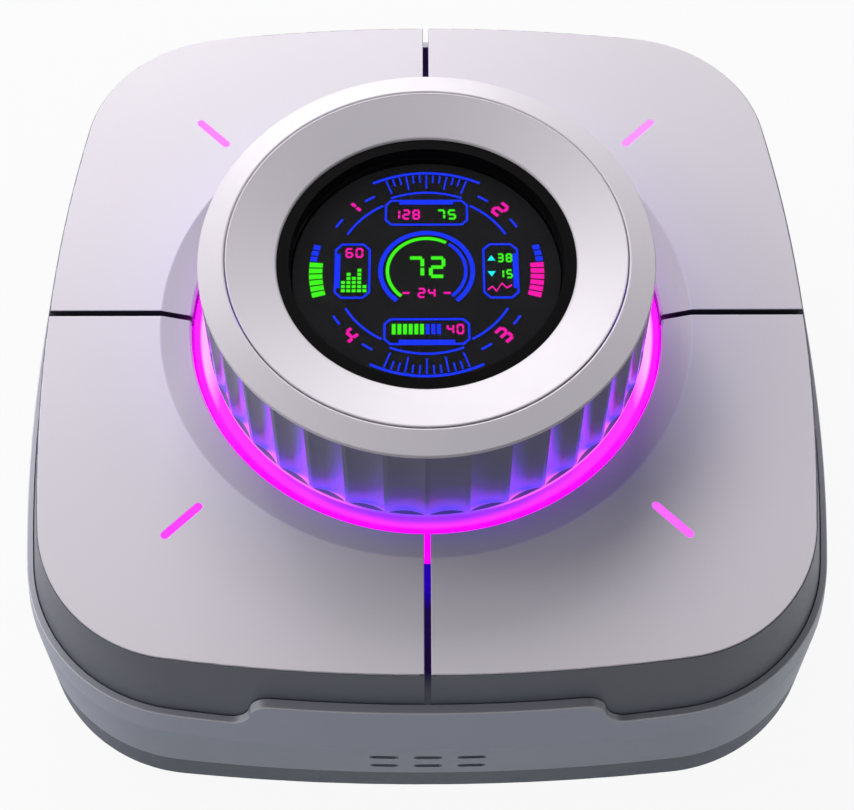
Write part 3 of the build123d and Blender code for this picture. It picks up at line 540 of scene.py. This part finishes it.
class Ink:
    """Flat marks of one colour, thickened at the end."""

    def __init__(self):
        self.shape = bmesh.new()

    def patch(self, points):
        """A flat patch from its corners."""
        corners = [self.shape.verts.new((x * MM, y * MM, picture_level)) for x, y in points]
        return self.shape.faces.new(corners)

    def bar(self, x, y, width, height, turn=0.0):
        """An upright bar about a point, turned by degrees."""
        spin = Matrix.Rotation(math.radians(turn), 2)
        right, top = width / 2, height / 2
        corners = [(-right, -top), (right, -top), (right, top), (-right, top)]
        self.patch([Vector((x, y)) + spin @ Vector(corner) for corner in corners])

    def frame(self, left, low, right, high, cut, line):
        """A line along the inside of a box with its corners cut off."""
        outlines = (
            cut_box(left, low, right, high, cut),
            cut_box(left + line, low + line, right - line, high - line, cut - CUT_LOSS * line),
        )
        outer, inner = [
            [self.shape.verts.new((x * MM, y * MM, picture_level)) for x, y in points] for points in outlines
        ]
        for index in range(len(outer)):
            self.shape.faces.new([outer[index - 1], outer[index], inner[index], inner[index - 1]])

    def arc(self, inner, outer, start, end, steps=24):
        """Part of a ring between two angles in degrees."""
        angle = math.radians(start)
        way = Vector((math.cos(angle), math.sin(angle), 0))
        rise = Vector((0, 0, picture_level))
        ends = [self.shape.verts.new(way * reach * MM + rise) for reach in (inner, outer)]
        edge = self.shape.edges.new(ends)
        bmesh.ops.spin(
            self.shape, geom=[edge, *ends], cent=(0, 0, picture_level), axis=(0, 0, 1),
            angle=math.radians(end - start), steps=steps,
        )

    def path(self, points, line):
        """A line of even height through points, left to right."""
        low = [self.shape.verts.new((x * MM, (y - line / 2) * MM, picture_level)) for x, y in points]
        high = [self.shape.verts.new((x * MM, (y + line / 2) * MM, picture_level)) for x, y in points]
        for index in range(len(points) - 1):
            self.shape.faces.new([low[index], low[index + 1], high[index + 1], high[index]])

    def digit(self, figure, x, y, width, height, line, turn=0.0):
        """A number of seven segments about a point."""
        lit = SEGMENTS[figure]
        spin = Matrix.Rotation(math.radians(turn), 2)
        across = width - END_GAP * line
        up = height / 2 - SIDE_GAP * line
        side = (width - line) / 2
        rise = (height - line) / 2
        spots = [
            (0, rise, across, line), (side, rise / 2, line, up), (side, -rise / 2, line, up),
            (0, -rise, across, line), (-side, -rise / 2, line, up), (-side, rise / 2, line, up),
            (0, 0, across, line),
        ]
        for segment, (sx, sy, wide, tall) in enumerate(spots):
            if str(segment) in lit:
                spot = Vector((x, y)) + spin @ Vector((sx, sy))
                self.bar(spot.x, spot.y, wide, tall, turn)

    def number(self, figures, x, y, width, height, line, turn=0.0):
        """Several digits in a row about a point."""
        pitch = width * DIGIT_PITCH
        way = Matrix.Rotation(math.radians(turn), 2) @ Vector((pitch, 0))
        first = Vector((x, y)) - way * (len(figures) - 1) / 2
        for index, figure in enumerate(figures):
            spot = first + way * index
            self.digit(figure, spot.x, spot.y, width, height, line, turn)

    def finish(self, name, material):
        """Thicken the marks and make the piece."""
        bmesh.ops.recalc_face_normals(self.shape, faces=self.shape.faces)
        raised = bmesh.ops.extrude_face_region(self.shape, geom=self.shape.faces[:])
        points = [item for item in raised["geom"] if isinstance(item, bmesh.types.BMVert)]
        bmesh.ops.translate(self.shape, verts=points, vec=(0, 0, picture_thickness))
        return add_piece(name, self.shape, material, "dial_carriage")


SEGMENTS = {
    "0": "012345", "1": "12", "2": "01346", "3": "01236", "4": "1256",
    "5": "02356", "6": "023456", "7": "012", "8": "0123456", "9": "012356",
}


def cut_box(left, low, right, high, cut):
    """A box outline with its corners cut off."""
    return [
        (left + cut, low), (right - cut, low), (right, low + cut), (right, high - cut),
        (right - cut, high), (left + cut, high), (left, high - cut), (left, low + cut),
    ]


blue, green, magenta, cyan = Ink(), Ink(), Ink(), Ink()

# Gauge fans at the back and front of the screen
tick_pitch = 3.4
tick_reach = 15.1
for middle in (90, 270):
    blue.arc(15.25, 15.6, middle - 27, middle + 27)
    blue.arc(12.1, 12.4, middle - 22, middle + 22)
    for step in range(-6, 7):
        turn = middle + step * tick_pitch
        angle = math.radians(turn)
        long = 2.2 if step % 3 == 0 else 1.2
        reach = tick_reach - long / 2
        blue.bar(reach * math.cos(angle), reach * math.sin(angle), long, 0.22, turn)

# Key numbers on the diagonals, each under a short arc
key_reach = 13.5
for figure, middle in (("1", 135), ("2", 45), ("3", 315), ("4", 225)):
    angle = math.radians(middle)
    turn = middle - 90 if middle < 180 else middle - 270
    magenta.digit(figure, key_reach * math.cos(angle), key_reach * math.sin(angle), 1.6, 2.3, 0.42, turn)
    blue.arc(11.45, 11.75, middle - 16, middle + 16)
    for side in (-1, 1):
        blue.arc(13.3, 13.6, middle + side * 8.5, middle + side * 15, 6)

# Side meters of stacked blocks
block_pitch = 3.6
block_reach = 14.9
for side, ink in ((-1, green), (1, magenta)):
    for step in range(-4, 5):
        middle = step * block_pitch if side > 0 else 180 - step * block_pitch
        wide = 0.9 if step > 1 else 1.7
        mark = ink if step <= 1 else blue
        mark.arc(block_reach - wide, block_reach, middle - 1.4, middle + 1.4, 3)

# Round gauge in the middle
blue.arc(5.55, 6.15, -50, 230, 64)
green.arc(4.75, 5.2, 60, 230, 48)
blue.arc(4.75, 5.2, -50, 55, 32)
green.number("72", 0, 0.55, 2.1, 3.3, 0.5)
magenta.number("24", 0, -3.35, 1.0, 1.5, 0.26)
for side in (-1, 1):
    magenta.bar(side * 2.6, -3.35, 0.9, 0.28)

# Boxes beside the gauge
frame_line = 0.3
for side in (-1, 1):
    edges = sorted((side * 7.1, side * 11.7))
    blue.frame(edges[0], -4.2, edges[1], 4.2, 0.9, frame_line)
    blue.bar(side * 11.2, 0, 0.5, 5.2)
for column, tall in enumerate((3, 5, 4, 6, 2)):
    for row in range(tall):
        green.bar(-10.55 + column * 0.68, -3.0 + row * 0.62, 0.5, 0.42)
magenta.number("60", -9.2, 2.75, 1.0, 1.5, 0.26)
cyan.patch([(7.75, 1.55), (8.75, 1.55), (8.25, 2.35)])
cyan.patch([(7.75, -0.1), (8.25, -0.9), (8.75, -0.1)])
green.number("38", 9.95, 1.95, 0.85, 1.35, 0.24)
green.number("15", 9.95, -0.5, 0.85, 1.35, 0.24)
magenta.path([(7.7, -2.9), (8.3, -2.4), (8.8, -3.1), (9.5, -1.9), (10.1, -2.6), (10.75, -2.2)], 0.24)

# Boxes behind and in front of the gauge
blue.frame(-5.4, 7.0, 5.4, 11.1, 0.8, frame_line)
blue.bar(0, 10.6, 7.0, 0.5)
magenta.number("128", -2.6, 8.75, 1.0, 1.6, 0.28)
green.number("75", 2.6, 8.75, 1.1, 1.6, 0.28)
blue.frame(-5.4, -11.0, 5.4, -7.1, 0.8, frame_line)
blue.bar(0, -10.5, 7.0, 0.5)
for step in range(9):
    ink = green if step < 6 else blue
    ink.bar(-4.1 + step * 0.7, -8.7, 0.5, 1.5)
magenta.number("40", 3.55, -8.7, 0.95, 1.5, 0.26)

blue.finish("picture_lines", lit_blue)
green.finish("picture_values", lit_green)
magenta.finish("picture_numbers", lit_magenta)
cyan.finish("picture_arrows", lit_cyan)


# Floor, light and camera

def background_seen(tree):
    """One where the camera sees the background straight, mirrored or through glass."""
    path = put(tree, "ShaderNodeLightPath").outputs
    bent = sums(tree, "MAXIMUM", path["Is Glossy Ray"], path["Is Transmission Ray"])
    return sums(tree, "MAXIMUM", path["Is Camera Ray"], bent)


def floor_finish():
    """Pale floor that shows white, with the part's soft shadow."""
    material, tree, shader = shader_of("pale_floor")
    feed(tree, shader, {
        "Base Color": tones(tree, cloud(tree, 3.0), (0.3, (0.59, 0.59, 0.60)), (0.7, (0.61, 0.61, 0.62))),
        "Roughness": 0.9,
        "Specular IOR Level": 0.0,
    })
    white = put(tree, "ShaderNodeEmission", {"Color": (1.0, 1.0, 1.0, 1.0), "Strength": 1.0})
    white_share = 0.93
    mix = put(tree, "ShaderNodeMixShader", {
        "Fac": sums(tree, "MULTIPLY", background_seen(tree), white_share),
        1: shader.outputs["BSDF"], 2: white.outputs["Emission"],
    })
    feed(tree, tree.nodes["Material Output"], {"Surface": mix.outputs["Shader"]})
    return material


floor_half = 3.0
floor_shape = bmesh.new()
bmesh.ops.create_grid(floor_shape, x_segments=2, y_segments=2, size=floor_half)
floor_mesh = bpy.data.meshes.new("floor")
floor_shape.to_mesh(floor_mesh)
floor_shape.free()
floor_mesh.materials.append(floor_finish())
floor = bpy.data.objects.new("floor", floor_mesh)
scene.collection.objects.link(floor)

world = bpy.data.worlds.new("studio")
scene.world = world
world.use_nodes = True
sky = world.node_tree
ambient_strength = 0.09
ambient = put(sky, "ShaderNodeBackground", {"Color": (0.93, 0.95, 1.0, 1.0), "Strength": ambient_strength})
white = put(sky, "ShaderNodeBackground", {"Color": (1.0, 1.0, 1.0, 1.0), "Strength": 1.0})
mix = put(sky, "ShaderNodeMixShader", {
    "Fac": background_seen(sky), 1: ambient.outputs["Background"], 2: white.outputs["Background"],
})
feed(sky, sky.nodes["World Output"], {"Surface": mix.outputs["Shader"]})


def softbox(name, place, size, power, colour):
    """A large soft lamp aimed at the part's middle."""
    lamp = bpy.data.lights.new(name, "AREA")
    lamp.shape = "RECTANGLE"
    lamp.size, lamp.size_y = size
    lamp.energy = power
    lamp.color = colour
    box = bpy.data.objects.new(name, lamp)
    box.location = place
    box.rotation_euler = (part_middle - Vector(place)).to_track_quat("-Z", "Y").to_euler()
    scene.collection.objects.link(box)
    return box


part_middle = Vector((0.0, 0.0, 0.03))
small_box, large_box = (0.34, 0.26), (0.45, 0.35)
rosy, cool = (1.0, 0.97, 1.0), (0.96, 0.98, 1.0)
softbox("back_softbox", (-0.084, 0.474, 0.320), small_box, 2.05, rosy)
softbox("corner_softbox", (-0.290, 0.350, 0.450), small_box, 1.03, rosy)
softbox("left_softbox", (-0.470, 0.080, 0.300), small_box, 0.74, rosy)
softbox("right_softbox", (0.310, 0.370, 0.330), small_box, 0.27, rosy)
softbox("front_softbox", (0.0, -0.746, 0.108), large_box, 0.50, cool)

# Camera at the photograph's place, a hair off square
camera_data = bpy.data.cameras.new("camera")
camera_data.sensor_width = 36.0
camera_data.sensor_fit = "HORIZONTAL"
camera_data.lens = 63.5
camera_data.clip_start = 0.01
camera = bpy.data.objects.new("camera", camera_data)
eye = Vector((0.08, -107.35, 201.64)) * MM
aim = Vector((0.08, -14.0, 33.0)) * MM
yaw = Matrix.Rotation(math.radians(-0.271), 3, "Z")
roll = math.radians(0.097)
camera.location = yaw @ eye
look = (yaw @ (aim - eye)).to_track_quat("-Z", "Y")
camera.rotation_euler = (look.to_matrix() @ Matrix.Rotation(roll, 3, "Z")).to_euler()
scene.collection.objects.link(camera)
scene.camera = camera

scene.view_settings.view_transform = "Standard"
